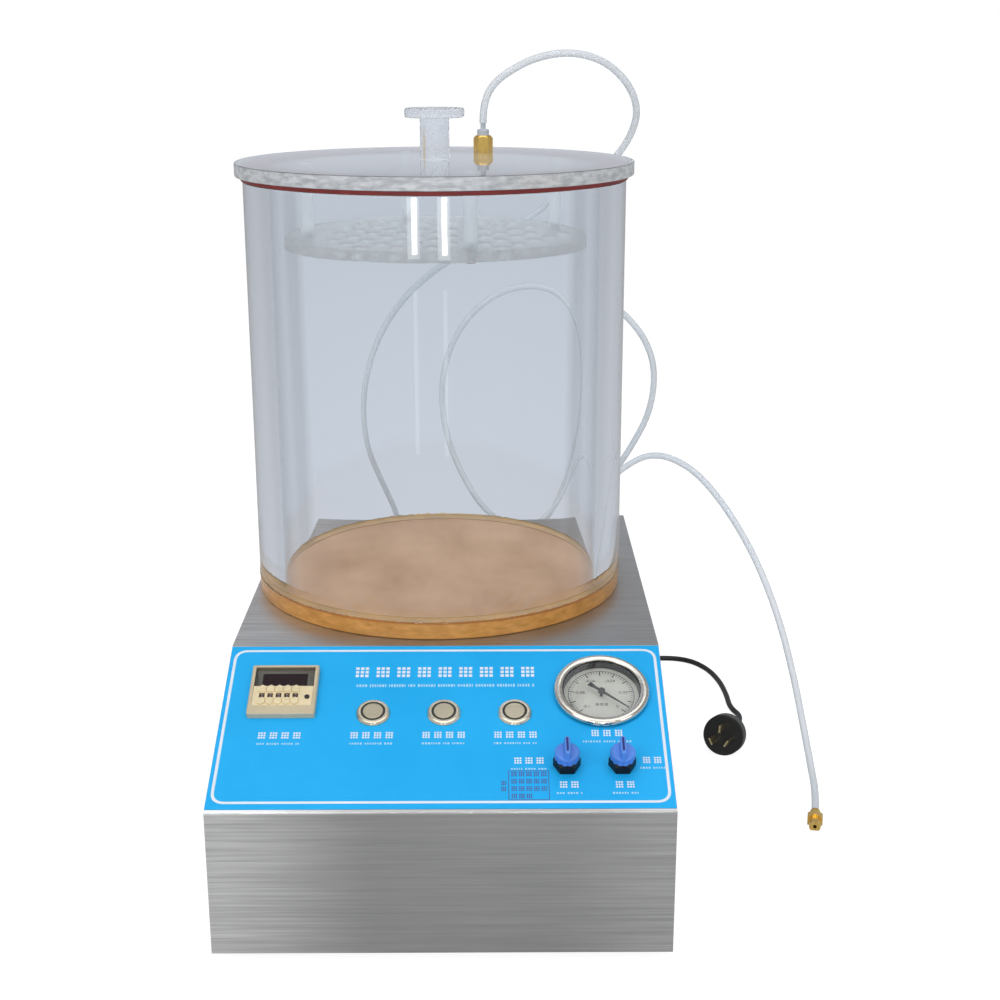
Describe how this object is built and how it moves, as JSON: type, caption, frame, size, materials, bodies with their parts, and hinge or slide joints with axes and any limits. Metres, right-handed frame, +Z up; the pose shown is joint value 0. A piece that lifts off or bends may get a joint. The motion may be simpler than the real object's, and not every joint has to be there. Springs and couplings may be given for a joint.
{
  "type": "vacuum chamber",
  "caption": "Clear round acrylic vacuum leak test chamber with lid and press plate on a stainless control cabinet with timer, gauge, buttons and valve knobs.",
  "frame": {"origin": "on the bench under the middle of the cabinet's footprint", "axes": "+Z up; the control panel faces -Y; +X is to the operator's right"},
  "size_m": [0.4716, 0.604, 0.6004],
  "materials": {
    "brushed_stainless": "brushed",
    "base_steel": "plain",
    "overlay_blue": "satin film",
    "foot_rubber": "matt",
    "steel_fixings": "satin",
    "timer_case": "matt",
    "timer_beige": "fine matt",
    "timer_smoked": "smoked clear",
    "timer_red": "dark red",
    "timer_cream": "satin",
    "timer_black": "gloss",
    "digit_dark": "matt",
    "gauge_steel": "polished",
    "gauge_case": "satin black",
    "gauge_glass": "clear",
    "dial_white": "matt",
    "pointer_black": "matt",
    "button_steel": "satin dome",
    "button_dark_ring": "gloss",
    "button_cap_steel": "satin",
    "valve_nut_black": "satin black",
    "valve_brass": "plain",
    "knob_blue": "satin",
    "acrylic_clear": "polished clear",
    "acrylic_lid": "polished clear",
    "acrylic_amber": "glossy amber",
    "gasket_red": "matt",
    "plate_clear": "polished clear",
    "fitting_brass": "plain",
    "collar_pale": "gloss",
    "hose_pu": "translucent satin",
    "lead_black": "satin",
    "plug_black": "satin",
    "blade_brass": "plain",
    "relief_black": "matt",
    "inner_unit": "matt",
    "inner_aluminium": "plain"
  },
  "bodies": {
    "cabinet": {"cabinet_shell": "brushed_stainless", "rear_panel": "brushed_stainless", "base_plate": "base_steel", "rubber_feet": "foot_rubber", "foot_screws": "steel_fixings", "cabinet_screws": "steel_fixings", "panel_overlay": "overlay_blue", "timer_housing": "timer_case", "timer_bezel": "timer_beige", "timer_window": "timer_smoked", "timer_display": "timer_red", "timer_switch_block": "timer_cream", "gauge_case": "gauge_case", "gauge_bezel": "gauge_steel", "gauge_glass": "gauge_glass", "gauge_dial": "dial_white", "button_rings": "button_dark_ring", "button_nuts": "steel_fixings", "button_body_1": "button_steel", "button_body_2": "button_steel", "button_body_3": "button_steel", "valve_bodies": "valve_brass", "valve_nuts": "valve_nut_black", "chamber_base": "acrylic_amber", "chamber_wall": "acrylic_clear", "rear_ports": "fitting_brass", "rear_port_nuts": "fitting_brass", "strain_relief": "relief_black", "solenoid_valve": "inner_unit", "manifold_block": "inner_aluminium", "power_supply": "inner_aluminium", "terminal_block": "inner_unit", "pump_hose": "hose_pu", "pump_hose_fitting": "fitting_brass", "mains_lead_start": "lead_black", "mains_lead_coil": "lead_black", "mains_lead_run": "lead_black", "mains_plug_body": "plug_black", "mains_plug_blades": "blade_brass"},
    "lid": {"lid_plate": "acrylic_lid", "lid_gasket": "gasket_red", "lid_knob": "acrylic_lid", "lid_fitting": "fitting_brass", "lid_fitting_collar": "collar_pale", "press_plate": "plate_clear", "press_plate_rods": "plate_clear", "press_plate_screws": "steel_fixings", "lid_hose": "hose_pu"},
    "digit_1": {"timer_digit_wheel_1": "digit_dark"},
    "digit_2": {"timer_digit_wheel_2": "digit_dark"},
    "digit_3": {"timer_digit_wheel_3": "digit_dark"},
    "digit_4": {"timer_digit_wheel_4": "digit_dark"},
    "digit_5": {"timer_digit_wheel_5": "digit_dark"},
    "reset": {"timer_reset_button": "timer_black"},
    "pointer": {"gauge_pointer": "pointer_black"},
    "cap_1": {"button_cap_1": "button_cap_steel"},
    "cap_2": {"button_cap_2": "button_cap_steel"},
    "cap_3": {"button_cap_3": "button_cap_steel"},
    "handle_1": {"valve_handle_1": "knob_blue"},
    "handle_2": {"valve_handle_2": "knob_blue"}
  },
  "joints": [
    {"name": "lid_lift", "type": "slide", "parent": "cabinet", "child": "lid", "axis": [0, 0, 1], "range_m": [0, 0.08]},
    {"name": "timer_digit_1", "type": "hinge", "parent": "cabinet", "child": "digit_1", "pos_m": [-0.1293, -0.14385, 0.15324], "axis": [1, 0, 0], "continuous": true},
    {"name": "timer_digit_2", "type": "hinge", "parent": "cabinet", "child": "digit_2", "pos_m": [-0.12335, -0.14385, 0.15324], "axis": [1, 0, 0], "continuous": true},
    {"name": "timer_digit_3", "type": "hinge", "parent": "cabinet", "child": "digit_3", "pos_m": [-0.1174, -0.14385, 0.15324], "axis": [1, 0, 0], "continuous": true},
    {"name": "timer_digit_4", "type": "hinge", "parent": "cabinet", "child": "digit_4", "pos_m": [-0.11145, -0.14385, 0.15324], "axis": [1, 0, 0], "continuous": true},
    {"name": "timer_digit_5", "type": "hinge", "parent": "cabinet", "child": "digit_5", "pos_m": [-0.1055, -0.14385, 0.15324], "axis": [1, 0, 0], "continuous": true},
    {"name": "timer_reset", "type": "slide", "parent": "cabinet", "child": "reset", "axis": [0, 0.3923, -0.9198], "range_m": [0, 0.0008], "stiffness_N_per_m": 200, "springref_m": -0.002},
    {"name": "gauge_needle", "type": "hinge", "parent": "cabinet", "child": "pointer", "pos_m": [0.1125, -0.13913, 0.15797], "axis": [0, -0.3923, 0.9198], "range_deg": [0, 270], "stiffness_Nm_per_rad": 0.0002, "springref_deg": -17.19},
    {"name": "button_1_press", "type": "slide", "parent": "cabinet", "child": "cap_1", "axis": [0, 0.3923, -0.9198], "range_m": [0, 0.0025], "stiffness_N_per_m": 400, "springref_m": -0.002},
    {"name": "button_2_press", "type": "slide", "parent": "cabinet", "child": "cap_2", "axis": [0, 0.3923, -0.9198], "range_m": [0, 0.0025], "stiffness_N_per_m": 400, "springref_m": -0.002},
    {"name": "button_3_press", "type": "slide", "parent": "cabinet", "child": "cap_3", "axis": [0, 0.3923, -0.9198], "range_m": [0, 0.0025], "stiffness_N_per_m": 400, "springref_m": -0.002},
    {"name": "valve_1_turn", "type": "hinge", "parent": "cabinet", "child": "handle_1", "pos_m": [0.0852, -0.20531, 0.13931], "axis": [0, -0.3923, 0.9198], "range_deg": [0, 180]},
    {"name": "valve_2_turn", "type": "hinge", "parent": "cabinet", "child": "handle_2", "pos_m": [0.123, -0.20531, 0.13931], "axis": [0, -0.3923, 0.9198], "range_deg": [-180, 0]}
  ]
}
